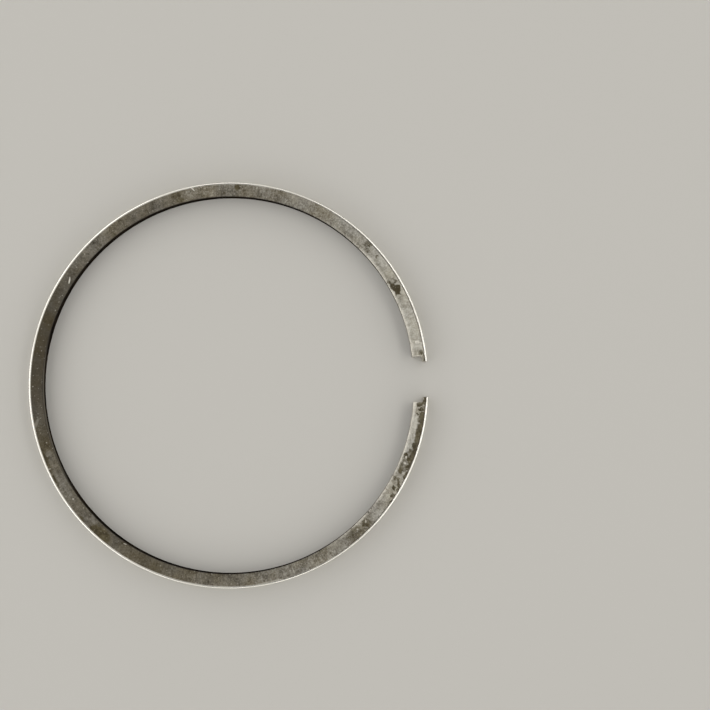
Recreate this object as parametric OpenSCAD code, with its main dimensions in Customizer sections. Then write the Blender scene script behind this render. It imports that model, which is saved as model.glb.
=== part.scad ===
// Piston ring of a small two-stroke engine, lying free of its cylinder.
// It is one strip of cast iron with flat sides and rounded, plated outer edges.
// The strip is sprung open, and a locating pin notch is cut into the inside of each end.
// The origin is under the middle of the ring, on its lower side. The gap faces +X.

/* [Cylinder] */
// Diameter of the cylinder that the ring seals
bore_d = 54; // [40:0.5:100]

/* [Section] */
// Radial thickness, from the inner wall to the running face
radial_t = 2; // [1.6:0.1:4]
// Axial height, between the two side faces
ring_h = 1.75; // [0.8:0.05:3]
// Radius of the two outer edges, where the plating of the running face ends
outer_edge_r = 0.25; // [0.05:0.01:0.35]
// Edge break along the two inner edges
inner_break = 0.12; // [0.02:0.01:0.2]

/* [Gap] */
// Opening between the two ends while the ring is free
free_gap = 4.8; // [2:0.1:12]
// Opening left between the two ends inside the cylinder
fitted_gap = 0.2; // [0.1:0.05:0.5]

/* [Locating pin] */
// Diameter of the pin in the piston's groove that the two notches close around
pin_d = 1.6; // [1:0.1:3]
// Play of that pin along the ring, inside the cylinder
pin_clearance = 0.1; // [0.05:0.05:0.4]
// Depth of each notch, outwards from the inner wall
notch_depth = 1.3; // [0.6:0.05:1.5]
// Radius in the root of each notch
notch_root_r = 0.25; // [0.1:0.05:0.5]

/* [Smoothness] */
// Steps along each half of the ring, from its back to its end
half_steps = 90; // [30:5:120]
// Steps round each outer edge
edge_steps = 3; // [1:1:4]

/* [Hidden] */
$fn = 48;
half_t = radial_t / 2;
// Degrees in a radian
radian = 180 / PI;
// How far the cutters run past the faces that they cut
cut_past = 1;
// Radius of the strip's middle line inside the cylinder
fitted_r = bore_d / 2 - half_t;
// Share by which the strip is unbent, so that it presses evenly on the cylinder all round
unbent = (free_gap - fitted_gap) / (3 * PI * fitted_r);
// Length of each notch, back from its end: the pin's half of the pocket
notch_l = (pin_d + pin_clearance - fitted_gap) / 2;
// A root is never rounder than its notch
root_r = min(notch_root_r, notch_l, notch_depth);

// Free radius of the middle line at an angle measured from the ring's back.
// An evenly pressing ring opens into this form, which stands out furthest between its sides and its gap.
function free_r(a) = fitted_r * (1 + unbent * (1 + a / radian / 2 * sin(a)));

// Angle by which the strip leans away from a circle there
function lean(a) = atan(fitted_r * unbent / 2 * (sin(a) + a / radian * cos(a)) / free_r(a));

// A point beside the middle line, so far outwards from it
function beside(a, out) = let (face = a - lean(a))
    [-free_r(a) * cos(a) - out * cos(face), free_r(a) * sin(a) + out * sin(face)];

// Angle of the ring's ends, where half of the free gap is left
end_a = 180 - asin(free_gap / 2 / free_r(180 - asin(free_gap / 2 / free_r(180))));
end_face = end_a - lean(end_a);
// Puts the middle of the ring's box over the origin
centre_x = -(beside(0, half_t).x + beside(end_a, half_t).x) / 2;

// Outline of the section, as distances outwards from the middle line and heights
section = concat(
    [for (k = [0:edge_steps]) let (a = 90 * k / edge_steps)
        [half_t - outer_edge_r * (1 - sin(a)), outer_edge_r * (1 - cos(a))]],
    [for (k = [0:edge_steps]) let (a = 90 * k / edge_steps)
        [half_t - outer_edge_r * (1 - cos(a)), ring_h - outer_edge_r * (1 - sin(a))]],
    [[inner_break - half_t, ring_h], [-half_t, ring_h - inner_break],
     [-half_t, inner_break], [inner_break - half_t, 0]]
);

// The strip before its ends are notched: the section swept from one end to the other
module strip() {
    sides = len(section);
    stations = [for (i = [-half_steps:half_steps]) end_a * i / half_steps];
    points = [for (a = stations, p = section) let (xy = beside(a, p.x)) [xy.x, xy.y, p.y]];
    walls = [for (i = [0:len(stations) - 2], k = [0:sides - 1]) let (next = (k + 1) % sides)
        [i * sides + k, i * sides + next, (i + 1) * sides + next, (i + 1) * sides + k]];
    first_end = [for (k = [sides - 1:-1:0]) k];
    last_end = [for (k = [0:sides - 1]) (len(stations) - 1) * sides + k];
    polyhedron(points, concat(walls, [first_end, last_end]));
}

// Outline of a notch: X runs outwards from the inner wall, Y back along the ring from its end
module notch_outline() {
    translate([-cut_past, -cut_past]) square([cut_past + notch_depth - root_r, cut_past + notch_l]);
    translate([-cut_past, -cut_past]) square([cut_past + notch_depth, cut_past + notch_l - root_r]);
    translate([notch_depth - root_r, notch_l - root_r]) circle(root_r);
}

// Cutter for the notch in the end that lies towards +Y
module pin_notch() {
    translate(concat(beside(end_a, -half_t), -cut_past))
        rotate(180 - end_face)
            linear_extrude(ring_h + 2 * cut_past) notch_outline();
}

module piston_ring() {
    color("#5a564c") translate([centre_x, 0, 0]) difference() {
        strip();
        pin_notch();
        mirror([0, 1, 0]) pin_notch();
    }
}

piston_ring();
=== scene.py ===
# %% [markdown]
# # A piston ring, dressed for its picture
# This ring seals the piston of a small two-stroke engine. It is one strip of cast iron, sprung open, with
# a bright plated outer face and dark, stained sides.
# The solid model comes in first as a fixed frame. Everything made here is measured from it, in metres, so
# nothing has to be fitted by eye.

# %% Load the solid model
import math

import bmesh
import bpy
import numpy as np
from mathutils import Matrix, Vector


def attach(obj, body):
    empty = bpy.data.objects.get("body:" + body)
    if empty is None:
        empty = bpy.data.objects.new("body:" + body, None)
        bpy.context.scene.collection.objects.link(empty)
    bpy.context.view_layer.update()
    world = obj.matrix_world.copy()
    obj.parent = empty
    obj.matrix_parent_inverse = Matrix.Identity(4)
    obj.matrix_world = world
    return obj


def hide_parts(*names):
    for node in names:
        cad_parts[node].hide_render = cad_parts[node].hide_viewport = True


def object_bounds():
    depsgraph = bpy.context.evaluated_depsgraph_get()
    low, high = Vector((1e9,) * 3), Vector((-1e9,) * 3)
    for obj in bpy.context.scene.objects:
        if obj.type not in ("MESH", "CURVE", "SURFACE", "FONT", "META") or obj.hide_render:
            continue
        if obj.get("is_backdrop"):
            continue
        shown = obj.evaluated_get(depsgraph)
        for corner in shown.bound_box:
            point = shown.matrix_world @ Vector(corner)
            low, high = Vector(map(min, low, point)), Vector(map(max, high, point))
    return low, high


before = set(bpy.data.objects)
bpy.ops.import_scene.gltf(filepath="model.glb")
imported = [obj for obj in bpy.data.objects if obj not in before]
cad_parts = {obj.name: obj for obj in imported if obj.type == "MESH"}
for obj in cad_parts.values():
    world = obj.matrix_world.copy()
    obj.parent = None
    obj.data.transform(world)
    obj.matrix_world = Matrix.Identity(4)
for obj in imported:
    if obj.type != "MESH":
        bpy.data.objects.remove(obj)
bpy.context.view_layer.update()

MM = 0.001

# %% [markdown]
# ## The sizes
# These are the ring's own sizes in millimetres, the same as in the solid model. A ring is ordered by its
# bore and section, and its gap and pin notch follow from the engine, so those are the values to name.
# They could be measured off the solid model's mesh, but named sizes are easier to read.

# %% Sizes of the ring
BORE = 54.0
THICKNESS = 2.0
HEIGHT = 1.75
OUTER_EDGE = 0.25
INNER_EDGE = 0.12
FREE_GAP = 4.8
FITTED_GAP = 0.2
NOTCH_LENGTH = 0.75
NOTCH_DEPTH = 1.3
NOTCH_ROOT = 0.25

half_thickness = THICKNESS / 2
fitted_radius = (BORE - THICKNESS) / 2

# %% [markdown]
# ## The form of a free ring
# A free ring is not round. It is turned so that it becomes round, and presses evenly all the way along
# the wall, once the cylinder squeezes it shut. Beam theory gives the form that it opens into.
# A circle with a slot would be simpler, but it would show: a real ring stands out between its sides and
# its gap. Here one function gives any point of the strip, from an angle that starts at the ring's back
# and a distance outwards from its middle line. Angles below zero are the lower arm.

# %% Points of the strip
unbent = (FREE_GAP - FITTED_GAP) / (3 * math.pi * fitted_radius)


def free_radius(angle):
    return fitted_radius * (1 + unbent * (1 + angle / 2 * np.sin(angle)))


def facing(angle):
    """The angle that the strip's outer face looks in, which leans a little away from a circle's."""
    turning = fitted_radius * unbent / 2 * (np.sin(angle) + angle * np.cos(angle))
    return angle - np.arctan(turning / free_radius(angle))


def outwards(angle):
    return np.stack([-np.cos(facing(angle)), np.sin(facing(angle))], -1)


def forwards(angle):
    return np.stack([np.sin(facing(angle)), np.cos(facing(angle))], -1)


def middle_line(angle):
    radius = free_radius(angle)
    return np.stack([-radius * np.cos(angle), radius * np.sin(angle)], -1)


def beside(angle, out):
    return middle_line(angle) + np.multiply.outer(out, outwards(angle))


print("unbent by", round(100 * unbent, 3), "% of its curve, from", fitted_radius, "mm radius")

# %% [markdown]
# ## Where the two ends lie
# A free gap is measured straight across, between the two end faces. So the angle of an end depends on the
# radius there, and that radius depends on the angle. It could be solved on paper, but putting one into
# the other a few times settles it just as well. The middle of the ring's box then goes over the origin,
# as in the solid model.

# %% Ends and middle
SETTLE_ROUNDS = 8

end_angle = math.pi
for _ in range(SETTLE_ROUNDS):
    end_angle = math.pi - math.asin(FREE_GAP / 2 / free_radius(end_angle))
back_x = beside(0.0, half_thickness)[0]
tip_x = beside(end_angle, half_thickness)[0]
centre = np.array([(back_x + tip_x) / 2, 0.0])
print("ends at", round(math.degrees(end_angle), 3), "degrees, box", round(tip_x - back_x, 4), "mm long")

# %% [markdown]
# ## The notched ends
# A pin in the piston's groove stops the ring from turning. The inside of each end is notched so that the
# two notches close around that pin, and a thin lip of the running face is left outside of it.
# A boolean cut would do, but its edges could not be rounded cleanly afterwards. So the notch is drawn as
# part of the ring's outline: down the end face, back along the lip, round the root and down the shoulder.

# %% Outline of one end
LIP_STEPS = 6
ROOT_STEPS = 8

root_turn = np.linspace(0, math.pi / 2, ROOT_STEPS + 1)
root_out = NOTCH_DEPTH - NOTCH_ROOT + NOTCH_ROOT * np.cos(root_turn)
root_back = NOTCH_LENGTH - NOTCH_ROOT + NOTCH_ROOT * np.sin(root_turn)
notch_out = np.concatenate([[NOTCH_DEPTH], root_out])
notch_back = np.concatenate([[0.0], root_back])
inner_corner = beside(end_angle, -half_thickness)
notch = (inner_corner + np.outer(notch_out, outwards(end_angle))
         - np.outer(notch_back, forwards(end_angle)))

shoulder_angle = end_angle
for _ in range(SETTLE_ROUNDS):
    past = (inner_corner - beside(shoulder_angle, -half_thickness)) @ forwards(end_angle)
    shoulder_angle += (past - NOTCH_LENGTH) / free_radius(end_angle)
lip = beside(np.linspace(shoulder_angle, end_angle, LIP_STEPS + 1)[1:], half_thickness)
tip = np.concatenate([lip, notch])
print("shoulder at", round(math.degrees(shoulder_angle), 3), "degrees,", len(tip), "points on each end")

# %% [markdown]
# ## The strip as a solid
# On the real ring, this is a casting turned to its section and cut open. A curve with a profile could
# sweep the strip too, but it has no way to notch the ends. So the outline runs along the outside, round
# one end, back along the inside and round the other end.
# The flat sides are filled with one long quad from edge to edge at each station, and walls join the two.
# Each end is a single flat many-sided face, which is safe because it really is flat.

# %% Build the strip
STATIONS = 361

stations = np.linspace(-shoulder_angle, shoulder_angle, STATIONS)
outside = beside(stations, half_thickness)
inside = beside(stations, -half_thickness)
lower_tip = tip * [1, -1]
outline = np.concatenate([outside, tip, inside[::-1], lower_tip[::-1]]) - centre

on_outside = np.arange(STATIONS)
on_tip = STATIONS + np.arange(len(tip))
on_inside = STATIONS + len(tip) + np.arange(STATIONS)[::-1]
on_lower_tip = 2 * STATIONS + len(tip) + np.arange(len(tip))[::-1]
sides = [[on_outside[i], on_outside[i + 1], on_inside[i + 1], on_inside[i]] for i in range(STATIONS - 1)]
sides.append([on_outside[-1], *on_tip, on_inside[-1]])
sides.append([on_inside[0], *on_lower_tip[::-1], on_outside[0]])

solid = bmesh.new()
top = [solid.verts.new((x * MM, y * MM, HEIGHT * MM)) for x, y in outline]
bottom = [solid.verts.new((x * MM, y * MM, 0)) for x, y in outline]
for side in sides:
    solid.faces.new([top[i] for i in side])
    solid.faces.new([bottom[i] for i in reversed(side)])
for i in range(len(outline)):
    solid.faces.new([top[i - 1], top[i], bottom[i], bottom[i - 1]])
bmesh.ops.recalc_face_normals(solid, faces=solid.faces)
sharp_volume = solid.calc_volume() / MM**3
print(len(outline), "outline points,", round(sharp_volume, 2), "cubic mm before its edges are rounded")

# %% [markdown]
# ## Rounded edges
# The outer edges are lapped round before plating, so they catch the light as a bright line. The inner
# edges are only broken, and the cut ends are deburred. The rounding could be drawn into the section, but
# not round the notches. A Bevel modifier rounds all of the edges at once: its width is the largest
# radius, and each edge carries a weight that takes its own share of it.

# %% Weigh and round the edges
CUT_EDGE = 0.05
ROUND_STEPS = 6

weight = solid.edges.layers.float.new("bevel_weight_edge")
outer_run = {*on_outside, *on_tip[:LIP_STEPS], *on_lower_tip[:LIP_STEPS]}
inner_run = {*on_inside}


def weigh(first, second, radius):
    solid.edges.get((first, second))[weight] = radius / OUTER_EDGE


for i in range(len(outline)):
    before = (i - 1) % len(outline)
    if {i, before} <= outer_run:
        radius = OUTER_EDGE
    elif {i, before} <= inner_run:
        radius = INNER_EDGE
    else:
        radius = CUT_EDGE
    weigh(top[before], top[i], radius)
    weigh(bottom[before], bottom[i], radius)
for end, shoulder in ((on_tip, on_inside[-1]), (on_lower_tip, on_inside[0])):
    for i in (end[LIP_STEPS - 1], end[LIP_STEPS], shoulder):
        weigh(top[i], bottom[i], CUT_EDGE)

sharp_mesh = bpy.data.meshes.new("sharp_ring")
solid.to_mesh(sharp_mesh)
solid.free()
sharp_ring = bpy.data.objects.new("sharp_ring", sharp_mesh)
bpy.context.scene.collection.objects.link(sharp_ring)
rounding = sharp_ring.modifiers.new("edges", "BEVEL")
rounding.limit_method = "WEIGHT"
rounding.width = OUTER_EDGE * MM
rounding.segments = ROUND_STEPS
rounding.use_clamp_overlap = False
print("outer edges", OUTER_EDGE, "mm, inner edges", INNER_EDGE, "mm, cut edges", CUT_EDGE, "mm")

# %% [markdown]
# ## A punched dot
# Fitters mark the side of a ring that goes upwards. Here that is a plain dot near one end, as a
# ball-ended punch leaves it. A bump in the shader would do from far off. A Boolean modifier takes the
# ball's shallow cap out of the side instead, so the dot is a real hollow that still shows when the ring
# is lit from another side.

# %% Punch the dot
DOT_ANGLE = 169.0
DOT_WIDTH = 0.6
DOT_DEPTH = 0.05
BALL_FINENESS = 6

ball_radius = (DOT_WIDTH**2 / 4 + DOT_DEPTH**2) / (2 * DOT_DEPTH)
dot_place = beside(math.radians(DOT_ANGLE), 0.0) - centre
ball = bmesh.new()
bmesh.ops.create_icosphere(ball, subdivisions=BALL_FINENESS, radius=ball_radius * MM)
ball_height = HEIGHT - DOT_DEPTH + ball_radius
bmesh.ops.translate(ball, verts=ball.verts, vec=(*(dot_place * MM), ball_height * MM))
ball_mesh = bpy.data.meshes.new("punch")
ball.to_mesh(ball_mesh)
ball.free()
punch = bpy.data.objects.new("punch", ball_mesh)
bpy.context.scene.collection.objects.link(punch)
punching = sharp_ring.modifiers.new("dot", "BOOLEAN")
punching.object = punch
punching.operation = "DIFFERENCE"
punching.solver = "EXACT"
print("punch ball", round(2 * ball_radius, 2), "mm across leaves a dot of", DOT_WIDTH, "mm")

# %% [markdown]
# ## One finished mesh
# The modifiers could stay live, but the finishes below are sorted face by face and need the finished
# faces. So both are worked out once, and their result is kept as the ring's mesh. The makeshift pieces
# go. A Weighted Normal modifier then lets the large flat faces decide the shading, so that the flat sides
# look flat right up to their rounded edges.

# %% Keep the finished mesh
SHARP_FROM = 35.0

evaluated = sharp_ring.evaluated_get(bpy.context.evaluated_depsgraph_get())
ring_mesh = bpy.data.meshes.new_from_object(evaluated)
ring_mesh.name = "sprung_ring"
bpy.data.objects.remove(sharp_ring)
bpy.data.objects.remove(punch)
ring_mesh.shade_smooth()
ring_mesh.set_sharp_from_angle(angle=math.radians(SHARP_FROM))
ring = bpy.data.objects.new("sprung_ring", ring_mesh)
bpy.context.scene.collection.objects.link(ring)
flat_sides = ring.modifiers.new("flat_sides", "WEIGHTED_NORMAL")
flat_sides.keep_sharp = True
print(len(ring_mesh.vertices), "vertices,", len(ring_mesh.polygons), "faces")

# %% [markdown]
# ## The strip laid straight
# Grinding lines, stains and scratches follow the strip, not the room. So each vertex is given its place
# on the strip as if it were laid straight: millimetres along it, across it and up it. A UV map could hold
# only two of the three. The shaders read them as their coordinate, and a pattern's scale is then simply
# one over its size in millimetres.

# %% Lay the strip straight
places = np.empty(len(ring_mesh.vertices) * 3, np.float32)
ring_mesh.vertices.foreach_get("co", places)
places = places.reshape(-1, 3).astype(float) / MM
flat_places = places[:, :2] + centre
angles = np.arctan2(flat_places[:, 1], -flat_places[:, 0])
for _ in range(SETTLE_ROUNDS):
    away = flat_places - middle_line(angles)
    angles += (away * forwards(angles)).sum(1) / free_radius(angles)
across = ((flat_places - middle_line(angles)) * outwards(angles)).sum(1)
strip_radius = free_radius(0.0)
straight = np.stack([angles * strip_radius, across, places[:, 2]], -1)
strip_layer = ring_mesh.attributes.new("strip", "FLOAT_VECTOR", "POINT")
strip_layer.data.foreach_set("vector", straight.astype(np.float32).ravel())
print("strip", np.round(np.ptp(straight, axis=0), 3), "mm long, wide and high")

# %% [markdown]
# ## Where the ring has worn, and where sheen is painted
# A ring doesn't wear evenly, so each vertex also carries four weights, which lead the finishes. The first
# says how far the dark coat is rubbed off. That grows towards the ends, where the ring moves most in its
# groove, and a little towards the outside. It also holds a painted sheen, which makes the sides lighter
# towards the gap. The second is full near the gap. The other two follow from the
# mesh: how much a vertex lies on a rounded edge, and how far it looks inwards.
# They could be painted on by hand, but a short list of angles and shares is easier to read and to change.

# %% Weights of wear and painted sheen
# degrees from the back, share of the coat that is rubbed off, with a painted sheen in it
RUBBED_AND_SHEEN = [
    (-175, 0.78), (-165, 0.78), (-157, 0.70), (-147, 0.66), (-137, 0.54), (-127, 0.43), (-117, 0.41),
    (-107, 0.39), (-97, 0.28), (-87, 0.22), (-77, 0.23), (-67, 0.13), (-57, 0.15), (-47, 0.14),
    (-37, 0.22), (-27, 0.21), (-17, 0.10), (-7, 0.08), (3, 0.04), (20, 0.04), (33, 0.11), (43, 0.22),
    (53, 0.25), (63, 0.19), (73, 0.22), (83, 0.36), (93, 0.30), (103, 0.34), (113, 0.37), (123, 0.50),
    (133, 0.58), (143, 0.73), (160, 0.75), (168, 0.78), (175, 0.84),
]
OUTER_SHARE = 0.12
# degrees from the back, share of what happens near the gap
NEAR_GAP = [(-132, 1.0), (-116, 0.0), (118, 0.0), (138, 1.0)]

from_back = np.degrees(angles)
normals = np.array([vertex.normal for vertex in ring_mesh.vertices])
tilt = normals[:, 2]
weights = {
    "rubbed_and_sheen": np.interp(from_back, *zip(*RUBBED_AND_SHEEN)) * (1 + OUTER_SHARE * across),
    "near_gap": np.interp(from_back, *zip(*NEAR_GAP)),
    "on_edge": 4 * tilt**2 * (1 - tilt**2),  # full halfway between flat and upright
    "inwards": -(normals[:, :2] * outwards(angles)).sum(1),
}
for name, values in weights.items():
    layer = ring_mesh.attributes.new(name, "FLOAT", "POINT")
    layer.data.foreach_set("value", values.astype(np.float32))
    print(name, "from", round(values.min(), 2), "to", round(values.max(), 2))

# %% [markdown]
# ## Writing materials
# Colours are written as on a paint chart, as sRGB hex, and one function turns them into the linear values
# that the renderer reckons in. One more function adds a node: it takes the node's settings, and for each
# input either a fixed value or the output that feeds it. Materials could be put together by hand in the
# Shader Editor, but written down they can be read and repeated.

# %% Helpers for materials
MIX_A, MIX_B, MIX_RESULT = 6, 7, 2  # a Mix node's colour sockets, by number because their names repeat


def linear(chart):
    parts = [int(chart[i:i + 2], 16) / 255 for i in (1, 3, 5)]
    return (*(p / 12.92 if p <= 0.04045 else ((p + 0.055) / 1.055) ** 2.4 for p in parts), 1.0)


def node(tree, kind, inputs, output=0, **settings):
    made = tree.nodes.new("ShaderNode" + kind)
    for name, value in settings.items():
        setattr(made, name, value)
    for name, value in inputs.items():
        if isinstance(value, bpy.types.NodeSocket):
            tree.links.new(value, made.inputs[name])
        else:
            made.inputs[name].default_value = value
    return made.outputs[output]


def start_material(name):
    """A new material's node tree, with only its output in it."""
    material = bpy.data.materials.new(name)
    material.use_nodes = True
    tree = material.node_tree
    tree.nodes.clear()
    return material, tree, tree.nodes.new("ShaderNodeOutputMaterial").inputs["Surface"]


print("mid grey", [round(part, 3) for part in linear("#808080")[:3]])

# %% [markdown]
# ## Phosphated cast iron: how far it is bare, with painted sheen
# The sides are ground flat and then phosphated: a bath grows a thin crust of dark crystals that holds
# oil. Where the ring has rubbed in its groove, the crust is thin and the ground iron comes through. The
# same share also paints a sheen, which makes the sides lighter towards the gap.
# The weight of wear and sheen alone would fade like paint. So patterns of several sizes break it up:
# grain, patches, spots and crossed grinding lines. Each noise is added by its own depth, and what they
# all add in the mean is taken off first. Where little coat is left, they are calmer.

# %% Bare share of the sides, with painted sheen
NOISE_LOW, NOISE_MEAN, NOISE_HIGH = 0.3, 0.5, 0.7  # a noise seldom leaves this range
GRAIN_MM = 0.2  # crystals are some hundredths of a mm, drawn coarser so that they show
PATCH_MM = 1.8
SPOT_MM = 0.5
LINE_MM, LINE_LENGTH_MM = 0.18, 1.6  # grinding lines are finer too, and are drawn coarser as well
LINE_SLANTS = (math.radians(33), math.radians(-40))
GRAIN_DEPTH, PATCH_DEPTH, SPOT_DEPTH, LINE_DEPTH = 3.0, 2.2, 2.4, 0.8
CALM_FROM, CALM_FULL, CALM_SHARE = 0.3, 0.8, 0.4

iron, tree, surface = start_material("phosphated_cast_iron")
strip = node(tree, "Attribute", {}, "Vector", attribute_name="strip")
worn_and_sheen = node(tree, "Attribute", {}, "Fac", attribute_name="rubbed_and_sheen")
all_depths = GRAIN_DEPTH + PATCH_DEPTH + SPOT_DEPTH + LINE_DEPTH * len(LINE_SLANTS)
broken = -all_depths * NOISE_MEAN
speckles = {}
for size, depth in ((GRAIN_MM, GRAIN_DEPTH), (PATCH_MM, PATCH_DEPTH), (SPOT_MM, SPOT_DEPTH)):
    speckles[size] = node(tree, "TexNoise", {"Vector": strip, "Scale": 1 / size, "Detail": 3,
                                             "Roughness": 0.6})
    broken = node(tree, "Math", {0: speckles[size], 1: depth, 2: broken}, operation="MULTIPLY_ADD")
spots = speckles[SPOT_MM]
for slant in LINE_SLANTS:
    ground = node(tree, "Mapping", {"Vector": strip, "Rotation": (0, 0, slant),
                                    "Scale": (1 / LINE_MM, 1 / LINE_LENGTH_MM, 1)})
    lines = node(tree, "TexNoise", {"Vector": ground, "Scale": 1, "Detail": 2})
    broken = node(tree, "Math", {0: lines, 1: LINE_DEPTH, 2: broken}, operation="MULTIPLY_ADD")
calmed = node(tree, "MapRange", {"Value": worn_and_sheen, "From Min": CALM_FROM, "From Max": CALM_FULL,
                                 "To Min": 1.0, "To Max": CALM_SHARE})
broken = node(tree, "Math", {0: broken, 1: calmed, 2: 1.0}, operation="MULTIPLY_ADD")
# the bare share is worn coat, and also a painted sheen that makes the sides lighter towards the gap
bare_and_sheen = node(tree, "Math", {0: broken, 1: worn_and_sheen}, operation="MULTIPLY", use_clamp=True)
print("grain", GRAIN_MM, "mm, spots", SPOT_MM, "mm, patches", PATCH_MM, "mm, lines", LINE_MM, "mm wide")

# %% [markdown]
# ## Phosphated cast iron: its colours
# To the eye, the full coat is a dull olive brown, thin coat is a greyer brown and ground iron is a warm
# grey. Mixing only the first and the last would skip the colour between them, so a colour ramp goes from
# one to the next. Oil has soaked in more in some places, so a broad noise makes the brown richer there
# and greyer elsewhere.

# %% Colours of coat and iron
FULL_COAT, THIN_COAT, GROUND_IRON = linear("#352e1f"), linear("#6d675a"), linear("#b5b1a5")
THIN_COAT_AT = 0.3
SOAKED_MM = 3.0
GREYEST, RICHEST = 0.8, 1.25

tones = node(tree, "ValToRGB", {"Fac": bare_and_sheen})
ramp = tones.node.color_ramp.elements
ramp[0].color = FULL_COAT
ramp[1].color = GROUND_IRON
ramp.new(THIN_COAT_AT).color = THIN_COAT
soaked = node(tree, "TexNoise", {"Vector": strip, "Scale": 1 / SOAKED_MM, "Detail": 3})
richness = node(tree, "MapRange", {"Value": soaked, "From Min": NOISE_LOW, "From Max": NOISE_HIGH,
                                   "To Min": GREYEST, "To Max": RICHEST})
sides_colour = node(tree, "HueSaturation", {"Color": tones, "Saturation": richness})
print("thin coat at a bare share of", THIN_COAT_AT, "and richer or greyer every", SOAKED_MM, "mm")

# %% [markdown]
# ## A mark in its place
# Stains and scratches lie in certain places, which noise can't be told. A painted picture could hold
# them, but this scene works without any. So a mark is an egg shape in the strip's own coordinates: a
# Mapping node set to Texture brings the strip to the mark's middle, turn and size, and a spherical
# gradient fills it, from full strength inside to nothing at its rim.

# %% A helper for marks
UPPER, LOWER = HEIGHT, 0.0
MARK_REACH = 0.5
MARK_RIM = 0.45


def add_mark(tree, strip, place, half_sizes, turn, strength):
    degrees, out, side = place
    laid = node(tree, "Mapping", {"Vector": strip, "Rotation": (0, 0, math.radians(turn)),
                                  "Location": (math.radians(degrees) * strip_radius, out, side),
                                  "Scale": (*half_sizes, MARK_REACH)}, vector_type="TEXTURE")
    filled = node(tree, "TexGradient", {"Vector": laid}, "Fac", gradient_type="SPHERICAL")
    return node(tree, "MapRange", {"Value": filled, "From Max": MARK_RIM, "To Max": strength})


print("a mark reaches", MARK_REACH, "mm up and down, so it stays on its own side")

# %% [markdown]
# ## Phosphated cast iron: where the stains lie
# Burnt oil has left brown stains, most of them near the gap, where hot gas gets past. Noise alone would
# spread them evenly. So each stain is made of one or a few blots: where one lies, how long and wide it
# is, and how dense. A dense one has a solid middle, and a thin one is only a broken shade.

# %% Places of the stains
# degrees from the back, mm across, mm long and wide either way, density
BLOTS = [
    # the large one beside the upper end, and the smaller ones round it
    (151.2, -0.50, 0.85, 0.45, 1.6), (151.9, 0.00, 0.55, 0.62, 1.6), (152.8, -0.28, 0.65, 0.42, 1.5),
    (150.7, -0.40, 0.50, 0.50, 1.3), (149.8, 0.20, 0.34, 0.30, 0.9), (149.4, -0.60, 0.60, 0.32, 0.9),
    (153.5, -0.62, 0.20, 0.18, 0.9), (157.4, -0.43, 0.45, 0.35, 0.5), (136.4, 0.30, 0.62, 0.75, 0.75),
    (137.0, 0.35, 0.30, 0.50, 0.9), (137.7, -0.35, 0.65, 0.48, 0.7), (140.9, 0.10, 0.30, 0.30, 0.85),
    (139.2, -0.58, 0.18, 0.15, 0.8), (143.1, -0.48, 0.55, 0.35, 0.5), (145.9, -0.58, 0.18, 0.18, 0.6),
    (134.8, -0.70, 0.90, 0.50, 0.6), (172.3, 0.45, 0.50, 0.38, 1.0), (172.1, 0.15, 0.55, 0.40, 0.75),
    (174.0, 0.55, 0.70, 0.40, 0.65),
    # single ones along the upper arm, the back and the lower arm
    (94.1, 0.35, 0.55, 0.60, 1.25), (89.5, -0.40, 0.80, 0.60, 0.6), (76.0, 0.30, 1.10, 1.00, 0.8),
    (76.8, -0.50, 0.80, 0.60, 0.9), (48.0, -0.65, 0.80, 0.50, 0.6), (-17.0, 0.15, 2.20, 1.20, 0.6),
    (-28.0, 0.60, 1.40, 0.55, 1.0), (-21.0, 0.55, 1.80, 0.55, 0.9), (-41.2, 0.60, 0.80, 0.40, 1.0),
    (-48.5, 0.20, 2.20, 1.30, 1.0), (-45.8, 0.30, 0.70, 0.90, 1.0), (-67.5, 0.10, 1.40, 1.10, 0.6),
    (-129.5, 0.00, 1.90, 1.40, 0.75), (-133.6, 0.00, 1.00, 0.90, 0.9),
    # the flecked stretch of the lower arm
    (-143.0, 0.62, 0.34, 0.25, 1.0), (-144.7, 0.42, 0.40, 0.45, 0.9), (-146.7, -0.05, 0.36, 0.33, 1.1),
    (-147.2, 0.55, 0.60, 0.32, 0.85), (-148.0, 0.35, 0.36, 0.28, 1.1), (-148.8, 0.12, 0.34, 0.26, 1.0),
    (-149.6, -0.10, 0.34, 0.26, 1.0), (-149.5, -0.52, 0.45, 0.28, 0.9), (-151.5, 0.62, 0.90, 0.32, 1.0),
    (-152.0, -0.35, 0.55, 0.45, 1.2), (-152.6, 0.00, 0.28, 0.55, 0.8), (-153.6, -0.45, 0.80, 0.48, 0.85),
    (-154.1, 0.38, 0.65, 0.58, 1.2), (-155.6, -0.45, 0.60, 0.50, 0.7), (-156.0, 0.02, 0.46, 0.36, 1.4),
    (-157.1, -0.50, 0.42, 0.42, 1.2), (-157.3, 0.45, 1.40, 0.62, 1.2), (-158.6, -0.10, 0.34, 0.45, 1.0),
    (-155.5, -0.10, 2.20, 1.10, 0.7), (-155.3, 0.45, 0.70, 0.50, 1.1),
    # the brown band along its outside, and the spots beside the notch
    (-160.8, 0.50, 1.80, 0.74, 1.1), (-164.5, 0.50, 2.60, 0.78, 1.1), (-168.4, 0.50, 1.70, 0.76, 1.1),
    (-162.6, 0.08, 0.50, 0.26, 0.9), (-168.2, -0.15, 0.22, 0.24, 0.9), (-169.7, -0.25, 0.26, 0.26, 1.2),
    (-171.0, 0.20, 0.40, 0.60, 1.4), (-172.5, -0.20, 0.48, 0.55, 1.05), (-173.2, 0.35, 0.50, 0.50, 1.15),
    (-174.2, 0.60, 0.90, 0.36, 1.0), (-170.0, 0.40, 0.50, 0.50, 1.2), (-172.0, 0.25, 1.20, 0.75, 0.7),
]
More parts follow.
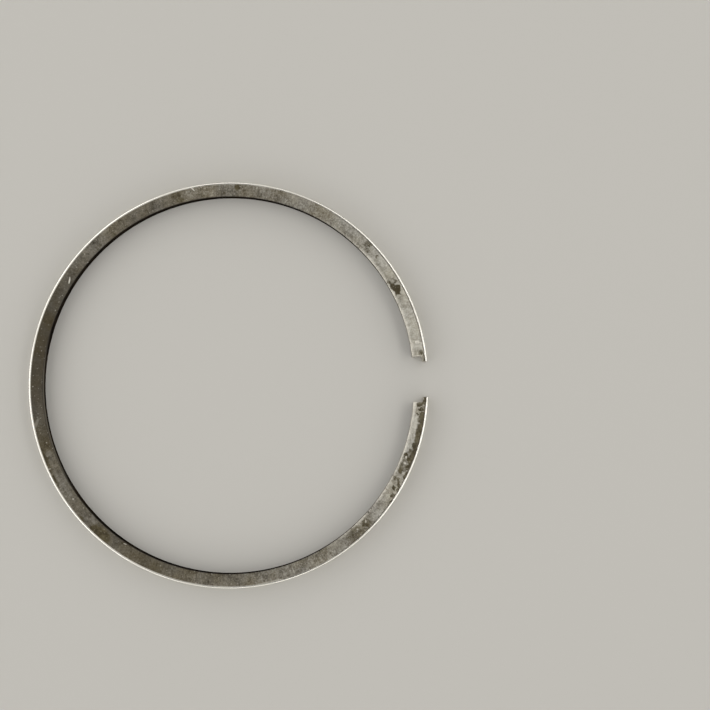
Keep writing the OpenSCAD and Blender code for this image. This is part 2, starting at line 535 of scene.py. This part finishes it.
UNDERSIDE_BLOTS = [
    (168.0, 0.20, 2.00, 0.90, 0.9), (127.0, -0.30, 1.20, 0.70, 0.9), (63.0, 0.10, 1.60, 1.00, 0.7),
    (-31.0, -0.20, 1.80, 0.80, 0.7), (-112.0, 0.30, 1.40, 0.70, 0.9), (-158.0, -0.10, 3.00, 0.80, 0.9),
]
print(len(BLOTS), "blots on the upper side,", len(UNDERSIDE_BLOTS), "on the lower one")

# %% [markdown]
# ## Phosphated cast iron: laying the stains
# Dried oil has a ragged rim and isn't of one brown. It could be one colour laid over the coat, but then
# it would look like ink. So noise bends the blots' outlines and eats into them, thick oil is darker and
# warmer, and thin oil lets some of the coat's grey through. All blots are joined by taking the densest.

# %% Lay the stains
STAIN, THIN_STAIN, THICK_STAIN = linear("#38301c"), linear("#5a523c"), linear("#342b12")
RAGGED_MM = 0.35
BEND_MM = 0.7
EATEN_LEAST, EATEN_MOST = 0.1, 0.9
STAIN_FROM, STAIN_FULL, STAIN_SHARE = -0.25, 0.6, 0.95
THIN_FROM, THIN_FULL = 0.4, 0.65
THICK_FROM, THICK_FULL = 1.1, 1.5

bend = node(tree, "TexNoise", {"Vector": strip, "Scale": 1 / RAGGED_MM, "Detail": 3}, "Color")
bend = node(tree, "VectorMath", {0: bend, 1: (NOISE_MEAN,) * 3}, operation="SUBTRACT")
bent_strip = node(tree, "VectorMath", {0: bend, 1: (BEND_MM, BEND_MM, 0), 2: strip},
                  operation="MULTIPLY_ADD")
blotted = 0.0
for side, blots in ((UPPER, BLOTS), (LOWER, UNDERSIDE_BLOTS)):
    for degrees, out, length, width, density in blots:
        blot = add_mark(tree, bent_strip, (degrees, out, side), (length, width), 0, density)
        blotted = node(tree, "Math", {0: blot, 1: blotted}, operation="MAXIMUM")

ragged = node(tree, "TexNoise", {"Vector": strip, "Scale": 1 / RAGGED_MM, "Detail": 4, "Roughness": 0.8})
eaten = node(tree, "MapRange", {"Value": ragged, "From Min": NOISE_LOW, "From Max": NOISE_HIGH,
                                "To Min": EATEN_LEAST, "To Max": EATEN_MOST})
left_over = node(tree, "Math", {0: blotted, 1: eaten}, operation="SUBTRACT")
stained = node(tree, "MapRange", {"Value": left_over, "From Min": STAIN_FROM, "From Max": STAIN_FULL,
                                  "To Max": STAIN_SHARE}, interpolation_type="SMOOTHSTEP")
thin = node(tree, "MapRange", {"Value": spots, "From Min": THIN_FROM, "From Max": THIN_FULL})
thick = node(tree, "MapRange", {"Value": blotted, "From Min": THICK_FROM, "From Max": THICK_FULL})
stain_colour = node(tree, "Mix", {0: thin, MIX_A: STAIN, MIX_B: THIN_STAIN}, MIX_RESULT, data_type="RGBA")
stain_colour = node(tree, "Mix", {0: thick, MIX_A: stain_colour, MIX_B: THICK_STAIN}, MIX_RESULT,
                    data_type="RGBA")
sides_colour = node(tree, "Mix", {0: stained, MIX_A: sides_colour, MIX_B: stain_colour}, MIX_RESULT,
                    data_type="RGBA")
print("stains ragged at", RAGGED_MM, "mm,", len(tree.nodes), "nodes so far")

# %% [markdown]
# ## Phosphated cast iron: bright marks
# Tools and the ring's groove leave a few short scratches and rubs that cut through to bright iron. So
# does the punch. The shoulders of the notches get a thin painted highlight along their edges.
# They could be cut into the mesh, but they are far too shallow for that. They are made as the stains are,
# only narrower, turned, and with clean outlines. Small flecks, the peaks of one more noise, go with them.

# %% Bright marks
FLECK_MM = 0.25
FLECK_FROM, FLECK_FULL, FLECK_SHARE = 0.68, 0.8, 0.5
DOT_SHINE, DOT_SHINE_REACH = 2.5, 0.55 * DOT_WIDTH
# degrees from the back, mm across, mm long and wide either way, turned by degrees, brightness
BRIGHT_MARKS = [
    # scratches and rubs along both arms and the back
    (34.5, -0.42, 0.50, 0.12, 22, 1.2), (35.1, -0.28, 0.32, 0.08, 24, 0.8),
    (81.1, 0.55, 0.48, 0.10, -55, 0.9), (83.5, 0.70, 0.25, 0.09, -70, 0.5),
    (24.6, -0.62, 0.12, 0.10, 0, 0.3), (29.6, -0.60, 0.12, 0.10, 0, 0.3),
    (-24.0, 0.60, 0.40, 0.09, 75, 0.4), (-56.0, -0.80, 0.30, 0.08, 15, 0.6),
    (-10.0, 0.30, 0.90, 0.26, -30, 0.12), (-35.2, -0.25, 0.18, 0.16, 0, 0.45),
    (-27.0, 0.10, 2.60, 0.30, -6, 0.06), (-32.0, -0.30, 1.60, 0.34, 6, 0.06),
    (-19.7, -0.20, 0.45, 0.55, 20, 0.10), (-23.9, -0.40, 0.30, 0.45, 0, 0.08),
    (113.0, 0.50, 2.40, 0.40, 0, 0.14), (109.1, -0.45, 0.35, 0.06, 60, 0.35),
    (-43.8, -0.55, 0.90, 0.30, -35, 0.10), (-98.5, 0.68, 1.40, 0.14, 4, 0.35),
    (-103.0, 0.66, 1.20, 0.12, -4, 0.35), (-130.6, -0.30, 0.14, 0.12, 0, 0.45),
    (-134.0, -0.30, 0.30, 0.12, 50, 0.6),
    # clean spots between the stains of the lower arm
    (-154.6, -0.18, 0.18, 0.24, 0, 0.8), (-154.7, 0.20, 0.16, 0.14, 0, 0.4),
    (-156.4, -0.34, 0.24, 0.15, 20, 0.8), (-170.6, 0.45, 0.09, 0.35, 0, 0.3),
    (-171.5, -0.15, 0.16, 0.14, 0, 0.4), (-172.4, 0.38, 0.18, 0.14, 0, 0.3),
    (-171.5, -0.78, 1.60, 0.26, 0, 0.4), (-167.3, -0.35, 1.20, 0.40, 0, 0.35),
    # the two shoulders, as painted highlights along their edges, and the dot
    (173.05, -0.40, 0.10, 0.65, 0, 0.7), (-173.05, -0.70, 0.10, 0.40, 0, 0.5),
    (DOT_ANGLE, 0.00, DOT_SHINE_REACH, DOT_SHINE_REACH, 0, DOT_SHINE),
]

scratches_and_highlights = 0.0
for degrees, out, length, width, turn, brightness in BRIGHT_MARKS:
    bright_mark = add_mark(tree, strip, (degrees, out, UPPER), (length, width), turn, brightness)
    scratches_and_highlights = node(tree, "Math", {0: bright_mark, 1: scratches_and_highlights}, operation="MAXIMUM", use_clamp=True)
flecks = node(tree, "TexNoise", {"Vector": strip, "Scale": 1 / FLECK_MM, "Detail": 1})
flecks = node(tree, "MapRange", {"Value": flecks, "From Min": FLECK_FROM, "From Max": FLECK_FULL,
                                 "To Max": FLECK_SHARE})
scratches_and_highlights = node(tree, "Math", {0: flecks, 1: scratches_and_highlights}, operation="MAXIMUM")
print(len(BRIGHT_MARKS), "bright marks, flecks of", FLECK_MM, "mm")

# %% [markdown]
# ## Phosphated cast iron: along the edges
# What happens along the edges changes round the ring. Near the gap, a thin dark line of painted shade
# lies along the foot of the plating, and the inner edge and the margin beside it are made lighter.
# Further off, the inner edge is darkened with painted shade instead, and where the coat is hardly worn, a
# thin painted highlight lies along the side next to the plating.
# Each could be a face with a material of its own, but then it would start and stop with a step. As shares
# that depend on the place across the strip and on the weights, they fade in and out.

# %% Seam shade, inner edge shade and highlight line
SEAM_INSIDE, SEAM_REACH, SEAM_SHADE_SHARE = 0.06, 0.07, 0.75
EDGE_SHADE_FROM, EDGE_SHADE_FULL, EDGE_SHADE_SHARE = 0.2, 0.8, 0.9
HIGHLIGHT_LINE_FROM, HIGHLIGHT_LINE_FULL, HIGHLIGHT_LINE_SHARE = 0.63, 0.70, 0.9
HIGHLIGHT_LINE_WORN, HIGHLIGHT_LINE_GONE = 0.15, 0.40

place_across = node(tree, "SeparateXYZ", {"Vector": strip}, "Y")
near_gap = node(tree, "Attribute", {}, "Fac", attribute_name="near_gap")
far_off = node(tree, "Math", {0: 1.0, 1: near_gap}, operation="SUBTRACT")

# near the gap, a thin dark line of painted shade lies at the foot of the plating
seam_out = half_thickness - OUTER_EDGE - SEAM_INSIDE
along_seam = node(tree, "Math", {0: place_across, 1: seam_out, 2: SEAM_REACH}, operation="COMPARE")
seam_shade = node(tree, "MapRange", {"Value": near_gap, "To Max": SEAM_SHADE_SHARE})
seam_shade = node(tree, "Math", {0: seam_shade, 1: along_seam}, operation="MULTIPLY")

looks_in = node(tree, "Attribute", {}, "Fac", attribute_name="inwards")
# away from the gap, the inner edge is darkened with painted shade
edge_shade = node(tree, "MapRange", {"Value": looks_in, "From Min": EDGE_SHADE_FROM, "From Max": EDGE_SHADE_FULL,
                                "To Max": EDGE_SHADE_SHARE})
edge_shade = node(tree, "Math", {0: edge_shade, 1: far_off}, operation="MULTIPLY")

# where the coat is hardly worn, a thin painted highlight lies beside the plating and widens its bright
# line
highlight_line = node(tree, "MapRange", {"Value": place_across, "From Min": HIGHLIGHT_LINE_FROM,
                                     "From Max": HIGHLIGHT_LINE_FULL})
highlight_left = node(tree, "MapRange", {"Value": worn_and_sheen, "From Min": HIGHLIGHT_LINE_WORN, "From Max": HIGHLIGHT_LINE_GONE,
                                     "To Min": HIGHLIGHT_LINE_SHARE, "To Max": 0.0})
highlight_line = node(tree, "Math", {0: highlight_line, 1: highlight_left}, operation="MULTIPLY")
bright = node(tree, "Math", {0: highlight_line, 1: scratches_and_highlights}, operation="MAXIMUM")
print("seam_shade", round(seam_out, 2), "mm out from the middle line, plating line from", HIGHLIGHT_LINE_FROM, "mm")

# %% Lighter edges near the gap
MARGIN_FROM, MARGIN_FULL, MARGIN_SHARE = -0.55, -0.85, 0.8

# stains, and the painted shade along the seam and the inner edge
stain_and_shade = node(tree, "Math", {0: seam_shade, 1: stained}, operation="MAXIMUM")
stain_and_shade = node(tree, "Math", {0: stain_and_shade, 1: edge_shade}, operation="MAXIMUM")
unstained_unshaded = node(tree, "Math", {0: 1.0, 1: stain_and_shade}, operation="SUBTRACT")
bare_sheen_unshaded = node(tree, "Math", {0: bare_and_sheen, 1: unstained_unshaded}, operation="MULTIPLY")

# near the gap, the rounded edges and the inner margin are made lighter
lighter_edge = node(tree, "Attribute", {}, "Fac", attribute_name="on_edge")
margin = node(tree, "MapRange", {"Value": place_across, "From Min": MARGIN_FROM, "From Max": MARGIN_FULL,
                                 "To Max": MARGIN_SHARE})
lighter_edge = node(tree, "Math", {0: lighter_edge, 1: margin}, operation="MAXIMUM")
lighter_edge = node(tree, "Math", {0: lighter_edge, 1: near_gap}, operation="MULTIPLY")
lighter_edge = node(tree, "Math", {0: lighter_edge, 1: bare_sheen_unshaded}, operation="MULTIPLY", use_clamp=True)
print("bright margin", round(half_thickness + MARGIN_FROM, 2), "mm wide along the inner edge")

# %% [markdown]
# ## Phosphated cast iron: the shader
# Bare iron shines as a metal does, and the coat hardly does. Oil, dirt and painted shade take the shine
# away, and dried oil is duller than the coat. One metallic share for all would make the coat look like
# foil, so the metallic share and the roughness follow what is bare, clean, scratched or under a painted
# highlight. The crust's relief comes from the spots and the lines of the last slant, as a Bump node,
# because it is only some thousandths of a millimetre deep.

# %% Shader of the sides
BRIGHT_IRON_AND_HIGHLIGHT, SEAM_SHADE_COLOUR, EDGE_SHADE_COLOUR = linear("#d8d3c6"), linear("#3a3121"), linear("#1a1510")
METAL_COATED, METAL_BARE = 0.1, 0.9
ROUGH_COATED, ROUGH_BARE, STAIN_DULLS = 0.55, 0.4, 0.35
LINE_RELIEF = 0.5
CRUST_STRENGTH, CRUST_DEPTH = 0.25, 0.01

# painted shade on the seam and inner edge, scratches with painted highlights, and lighter edges near the
# gap
for share, colour in ((seam_shade, SEAM_SHADE_COLOUR), (edge_shade, EDGE_SHADE_COLOUR), (bright, BRIGHT_IRON_AND_HIGHLIGHT), (lighter_edge, BRIGHT_IRON_AND_HIGHLIGHT)):
    sides_colour = node(tree, "Mix", {0: share, MIX_A: sides_colour, MIX_B: colour}, MIX_RESULT,
                        data_type="RGBA")
shine = node(tree, "Math", {0: bare_sheen_unshaded, 1: bright}, operation="MAXIMUM")
metal = node(tree, "MapRange", {"Value": shine, "To Min": METAL_COATED, "To Max": METAL_BARE})
side_roughness = node(tree, "MapRange", {"Value": shine, "To Min": ROUGH_COATED, "To Max": ROUGH_BARE})
side_roughness = node(tree, "Math", {0: stained, 1: STAIN_DULLS, 2: side_roughness},
                      operation="MULTIPLY_ADD")
relief = node(tree, "Math", {0: lines, 1: LINE_RELIEF, 2: spots}, operation="MULTIPLY_ADD")
crust = node(tree, "Bump", {"Height": relief, "Strength": CRUST_STRENGTH, "Distance": CRUST_DEPTH * MM})
shader = node(tree, "BsdfPrincipled", {"Base Color": sides_colour, "Metallic": metal,
                                       "Roughness": side_roughness, "Specular IOR Level": 0.25,
                                       "Normal": crust})
tree.links.new(shader, surface)
print(len(tree.nodes), "nodes in", iron.name)

# %% [markdown]
# ## Burnt oil: the inner wall
# The inside of the ring is turned, and never touches anything. Oil burns on there to a nearly black, dull
# skin. The eye sees only a dark band with faint turning lines, and here and there the brown of thinner
# oil. At the ring's back, the upper rim is lighter: a painted highlight.
# Plain black would look like a hole, so two browns are mixed by a noise, and the painted highlight on the
# rim is one more egg shape, a long one. Soot hardly mirrors anything, so the shader's specular level goes
# down to nothing.

# %% Burnt oil
CARBON, THIN_OIL, LIT_RIM = linear("#120f0c"), linear("#241d15"), linear("#59544a")
TURNING_MM, TURNING_LENGTH_MM = 0.08, 8.0
OIL_MM = 1.5
OIL_FROM, OIL_FULL = 0.42, 0.68
LIT_RIM_ANGLE, LIT_RIM_LENGTH, LIT_RIM_HEIGHT = -8.0, 16.0, 1.2
LIT_RIM_FROM, LIT_RIM_FULL = 0.2, 0.5
SKIN_DULL, SKIN_GLOSSY = 0.95, 0.7
TURNING_STRENGTH, TURNING_DEPTH = 0.3, 0.01

carbon, tree, surface = start_material("burnt_oil")
strip = node(tree, "Attribute", {}, "Vector", attribute_name="strip")
oil = node(tree, "TexNoise", {"Vector": strip, "Scale": 1 / OIL_MM, "Detail": 5, "Roughness": 0.65})
oily = node(tree, "MapRange", {"Value": oil, "From Min": OIL_FROM, "From Max": OIL_FULL})
wall_colour = node(tree, "Mix", {0: oily, MIX_A: CARBON, MIX_B: THIN_OIL}, MIX_RESULT, data_type="RGBA")
# the lighter upper rim at the back is a painted highlight
lit_rim_place = (math.radians(LIT_RIM_ANGLE) * strip_radius, -half_thickness, HEIGHT)
rim = node(tree, "Mapping", {"Vector": strip, "Location": lit_rim_place,
                             "Scale": (LIT_RIM_LENGTH, THICKNESS, LIT_RIM_HEIGHT)}, vector_type="TEXTURE")
lit_rim = node(tree, "TexGradient", {"Vector": rim}, "Fac", gradient_type="SPHERICAL")
lit_rim = node(tree, "MapRange", {"Value": lit_rim, "From Min": LIT_RIM_FROM, "From Max": LIT_RIM_FULL})
wall_colour = node(tree, "Mix", {0: lit_rim, MIX_A: wall_colour, MIX_B: LIT_RIM}, MIX_RESULT,
                   data_type="RGBA")
wall_roughness = node(tree, "MapRange", {"Value": oil, "To Min": SKIN_DULL, "To Max": SKIN_GLOSSY})
turned = node(tree, "Mapping", {"Vector": strip, "Scale": (1 / TURNING_LENGTH_MM, 1, 1 / TURNING_MM)})
turning = node(tree, "TexNoise", {"Vector": turned, "Scale": 1, "Detail": 2})
wall_relief = node(tree, "Bump", {"Height": turning, "Strength": TURNING_STRENGTH,
                                  "Distance": TURNING_DEPTH * MM})
shader = node(tree, "BsdfPrincipled", {"Base Color": wall_colour, "Roughness": wall_roughness,
                                       "Specular IOR Level": 0.0, "Normal": wall_relief})
tree.links.new(shader, surface)
print("turning lines", TURNING_MM, "mm,", len(tree.nodes), "nodes in", carbon.name)

# %% [markdown]
# ## Hard chrome: the running face
# The outer face is plated with hard chrome and lapped, so it stays smooth as it slides. To the eye it is
# a bright, faintly warm metal with fine lines along the ring and a few duller stretches. Sliding up and
# down the cylinder leaves upright marks on it, brown with varnish.
# A mirror would show only the room. Its colour is nearly even, so the roughness carries most of the
# pattern: lines drawn out along the strip, broad patches, and upright marks that fade out on the rounded
# edge.

# %% Hard chrome: colour
CHROME, DULL_CHROME, VARNISH = linear("#f1eee5"), linear("#dfdbd0"), linear("#9a917e")
DULL_MM = 4.0
DULL_FROM, DULL_FULL = 0.4, 0.75
RUN_LINE_MM, RUN_LENGTH_MM = 0.12, 2.5
RUN_FROM, RUN_FULL, RUN_SHARE = 0.52, 0.75, 0.5
RUN_ON_EDGE = 0.15

chrome, tree, surface = start_material("hard_chrome")
strip = node(tree, "Attribute", {}, "Vector", attribute_name="strip")
dull = node(tree, "TexNoise", {"Vector": strip, "Scale": 1 / DULL_MM, "Detail": 4, "Roughness": 0.6})
dull = node(tree, "MapRange", {"Value": dull, "From Min": DULL_FROM, "From Max": DULL_FULL})
chrome_colour = node(tree, "Mix", {0: dull, MIX_A: CHROME, MIX_B: DULL_CHROME}, MIX_RESULT,
                     data_type="RGBA")
upright = node(tree, "Mapping", {"Vector": strip, "Scale": (1 / RUN_LINE_MM, 1 / RUN_LENGTH_MM,
                                                            1 / RUN_LENGTH_MM)})
runs = node(tree, "TexNoise", {"Vector": upright, "Scale": 1, "Detail": 3, "Roughness": 0.6})
runs = node(tree, "MapRange", {"Value": runs, "From Min": RUN_FROM, "From Max": RUN_FULL,
                               "To Max": RUN_SHARE})
place_up = node(tree, "SeparateXYZ", {"Vector": strip}, "Z")
on_wall = node(tree, "MapRange", {"Value": place_up, "From Min": HEIGHT - OUTER_EDGE, "From Max": HEIGHT,
                                  "To Min": 1.0, "To Max": RUN_ON_EDGE})
runs = node(tree, "Math", {0: runs, 1: on_wall}, operation="MULTIPLY")
chrome_colour = node(tree, "Mix", {0: runs, MIX_A: chrome_colour, MIX_B: VARNISH}, MIX_RESULT,
                     data_type="RGBA")
print("upright marks", RUN_LINE_MM, "mm wide and", RUN_LENGTH_MM, "mm long")

# %% Hard chrome: roughness and shader
LAP_LINE_MM, LAP_LENGTH_MM = 0.06, 9.0  # lapping lines are finer, and are drawn coarser so that they show
LAP_SMOOTH, LAP_ROUGH = 0.15, 0.3
DULL_ADDS, RUN_ADDS = 0.12, 0.2
LAP_STRENGTH, LAP_DEPTH = 0.15, 0.005

lapped = node(tree, "Mapping", {"Vector": strip, "Scale": (1 / LAP_LENGTH_MM, 1 / LAP_LINE_MM,
                                                           1 / LAP_LINE_MM)})
laps = node(tree, "TexNoise", {"Vector": lapped, "Scale": 1, "Detail": 3})
haze = node(tree, "MapRange", {"Value": laps, "To Min": LAP_SMOOTH, "To Max": LAP_ROUGH})
haze = node(tree, "Math", {0: dull, 1: DULL_ADDS, 2: haze}, operation="MULTIPLY_ADD")
haze = node(tree, "Math", {0: runs, 1: RUN_ADDS, 2: haze}, operation="MULTIPLY_ADD")
lap_relief = node(tree, "Bump", {"Height": laps, "Strength": LAP_STRENGTH, "Distance": LAP_DEPTH * MM})
shader = node(tree, "BsdfPrincipled", {"Base Color": chrome_colour, "Metallic": 1.0, "Roughness": haze,
                                       "Normal": lap_relief})
tree.links.new(shader, surface)
print("lapping lines", LAP_LINE_MM, "mm wide,", len(tree.nodes), "nodes in", chrome.name)

# %% [markdown]
# ## Ground iron: the ends and notches
# The gap and the notches are ground after the coat has grown, so they are bare grey iron that has
# tarnished. The eye sees a satin grey with upright wheel marks and brown tarnish in patches. The marks
# could be a brushed, anisotropic shine, but on faces this small, drawn-out noise in the roughness and a
# faint bump do.

# %% Ground iron
FRESH_IRON, TARNISH = linear("#b9b4a6"), linear("#5d5341")
WHEEL_MM, WHEEL_LENGTH_MM = 0.08, 3.3
TARNISH_MM = 0.5
TARNISH_FROM, TARNISH_FULL, TARNISH_SHARE = 0.45, 0.7, 0.8
WHEEL_SMOOTH, WHEEL_ROUGH = 0.25, 0.5
WHEEL_STRENGTH, WHEEL_DEPTH = 0.3, 0.01

cut_iron, tree, surface = start_material("ground_iron")
strip = node(tree, "Attribute", {}, "Vector", attribute_name="strip")
tarnish = node(tree, "TexNoise", {"Vector": strip, "Scale": 1 / TARNISH_MM, "Detail": 4})
tarnish = node(tree, "MapRange", {"Value": tarnish, "From Min": TARNISH_FROM, "From Max": TARNISH_FULL,
                                  "To Max": TARNISH_SHARE})
cut_colour = node(tree, "Mix", {0: tarnish, MIX_A: FRESH_IRON, MIX_B: TARNISH}, MIX_RESULT,
                  data_type="RGBA")
wheel = node(tree, "Mapping", {"Vector": strip, "Scale": (1 / WHEEL_MM, 1 / WHEEL_MM,
                                                          1 / WHEEL_LENGTH_MM)})
wheel_marks = node(tree, "TexNoise", {"Vector": wheel, "Scale": 1, "Detail": 2})
cut_roughness = node(tree, "MapRange", {"Value": wheel_marks, "To Min": WHEEL_SMOOTH,
                                        "To Max": WHEEL_ROUGH})
wheel_relief = node(tree, "Bump", {"Height": wheel_marks, "Strength": WHEEL_STRENGTH,
                                   "Distance": WHEEL_DEPTH * MM})
shader = node(tree, "BsdfPrincipled", {"Base Color": cut_colour, "Metallic": 1.0,
                                       "Roughness": cut_roughness, "Normal": wheel_relief})
tree.links.new(shader, surface)
print("wheel marks", WHEEL_MM, "mm,", len(tree.nodes), "nodes in", cut_iron.name)

# %% [markdown]
# ## Which face gets which finish
# The finishes meet where the work on the real ring stopped: chrome from one outer edge round to the
# other, ground iron where a cutter has been, burnt oil on the inner wall, and the coat on all the rest.
# They could be set while the strip is built, but the rounding adds faces of its own. So each finished
# face is sorted by where its middle lies on the straightened strip and which way it looks.

# %% Give each face its finish
COATED, PLATED, CUT, BURNT = range(4)
STEEP, UPRIGHT = 0.6, 0.97  # how far a face looks in some direction, from 0 to 1

for material in (iron, chrome, cut_iron, carbon):
    ring_mesh.materials.append(material)
counts = [0] * len(ring_mesh.materials)
for face in ring_mesh.polygons:
    corners = list(face.vertices)
    middle_across = straight[corners, 1].mean()
    angle = angles[corners].mean()
    looks_ahead = abs(np.dot(face.normal[:2], forwards(angle)))
    looks_out = np.dot(face.normal[:2], outwards(angle))
    near_end = abs(angle) > shoulder_angle - CUT_EDGE / free_radius(angle)
    if middle_across > half_thickness - OUTER_EDGE and looks_out > 0 and looks_ahead < STEEP:
        finish = PLATED
    elif near_end and abs(face.normal.z) < STEEP:
        finish = CUT
    elif looks_out < -UPRIGHT:
        finish = BURNT
    else:
        finish = COATED
    face.material_index = finish
    counts[finish] += 1
print("faces coated, plated, cut and burnt:", counts)

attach(ring, "root")
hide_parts("piston_ring")

# %% [markdown]
# ## The floor
# The ring lies on plain pale card, which shows its outline and takes its shadow. A curved backdrop would
# hide the horizon too, but the bright edge would mirror it, so the card is one large flat sheet.

# %% Pale floor
CARD = linear("#b9b6af")
CARD_ROUGHNESS = 0.9
FLOOR_REACH = 3.0

floor_mesh = bpy.data.meshes.new("floor")
floor_corners = [(-1, -1, 0), (1, -1, 0), (1, 1, 0), (-1, 1, 0)]
floor_places = [tuple(FLOOR_REACH * part for part in corner) for corner in floor_corners]
floor_mesh.from_pydata(floor_places, [], [(0, 1, 2, 3)])
floor = bpy.data.objects.new("floor", floor_mesh)
bpy.context.scene.collection.objects.link(floor)
card, tree, surface = start_material("pale_card")
shader = node(tree, "BsdfPrincipled", {"Base Color": CARD, "Roughness": CARD_ROUGHNESS})
tree.links.new(shader, surface)
floor_mesh.materials.append(card)
floor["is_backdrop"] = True
print("floor", 2 * FLOOR_REACH, "m wide")

# %% [markdown]
# ## Soft light
# A dull ring is read by its shadow and by what its bright edge mirrors. Small studio things are often put
# in a light tent, and so is this one: the world is bright up to some height, as the tent's walls are, and
# dim above. The rounded, plated edge mirrors the walls all round, and the flat sides mirror the dim sky.
# A world of one grey would leave no shadow and no gleam. So three soft lamps are added: a wide one at the
# right, a large one at the left like a window, and a small one overhead, which only the worn iron near
# the gap mirrors.

# %% Light tent
WALL_LEVEL, SKY_LEVEL = 1.9, 0.20
WALL_TOP, SKY_FROM = 0.30, 0.65

scene = bpy.context.scene
scene.view_settings.view_transform = "Standard"
tent = bpy.data.worlds.new("light_tent")
tent.use_nodes = True
tree = tent.node_tree
towards = node(tree, "TexCoord", {}, "Generated")
upwards = node(tree, "SeparateXYZ", {"Vector": towards}, "Z")
level = node(tree, "MapRange", {"Value": upwards, "From Min": WALL_TOP, "From Max": SKY_FROM,
                                "To Min": WALL_LEVEL, "To Max": SKY_LEVEL},
             interpolation_type="SMOOTHSTEP")
background = tree.nodes["Background"]
background.inputs["Color"].default_value = linear("#ffffff")
tree.links.new(level, background.inputs["Strength"])
scene.world = tent
print("light", WALL_LEVEL, "from the tent's walls and", SKY_LEVEL, "from overhead")

# %% Soft lamps
# name, place in m, width and height in m, watts
LAMPS = [
    ("key", (0.34, 0.02, 0.36), 0.90, 0.16, 0.80),
    ("window", (-0.32, 0.04, 0.32), 0.90, 0.40, 1.1),
    ("gleam", (0.06, 0.00, 0.45), 0.12, 0.12, 0.2),
]

for name, place, wide, high, watts in LAMPS:
    light = bpy.data.lights.new(name, "AREA")
    light.shape = "RECTANGLE"
    light.size = wide
    light.size_y = high
    light.energy = watts
    lamp = bpy.data.objects.new(name, light)
    lamp.location = place
    lamp.rotation_euler = (-lamp.location).to_track_quat("-Z", "Y").to_euler()
    scene.collection.objects.link(lamp)
print(len(LAMPS), "soft lamps,", round(sum(lamp[-1] for lamp in LAMPS), 2), "watts together")

# %% [markdown]
# ## The camera
# The photograph looks almost straight down on the ring, from a hand's length away. An upright camera
# would be simpler, but the inner wall shows a little on one side only. So the camera's place and turn
# were fitted to the ring's outline, for a lens that also shows the inner wall as wide as it is.

# %% Camera
LENS_MM = 70
CAMERA_MM = (22.2534, -5.1844, 190.4443)
CAMERA_TURN = (2.6111, 1.4771, -1.4387)
CLIP_NEAR, CLIP_FAR = 0.01, 20

view = bpy.data.cameras.new("camera")
view.lens = LENS_MM
view.clip_start = CLIP_NEAR
view.clip_end = CLIP_FAR
camera = bpy.data.objects.new("camera", view)
camera.location = [part * MM for part in CAMERA_MM]
camera.rotation_euler = [math.radians(turn) for turn in CAMERA_TURN]
scene.collection.objects.link(camera)
scene.camera = camera
print("camera", round(CAMERA_MM[2]), "mm above the floor")

# %% [markdown]
# ## The finished box
# The finished ring has to fill the same box as the solid model. Here the box of the finished objects is
# worked out.

# %% The finished box
low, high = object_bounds()
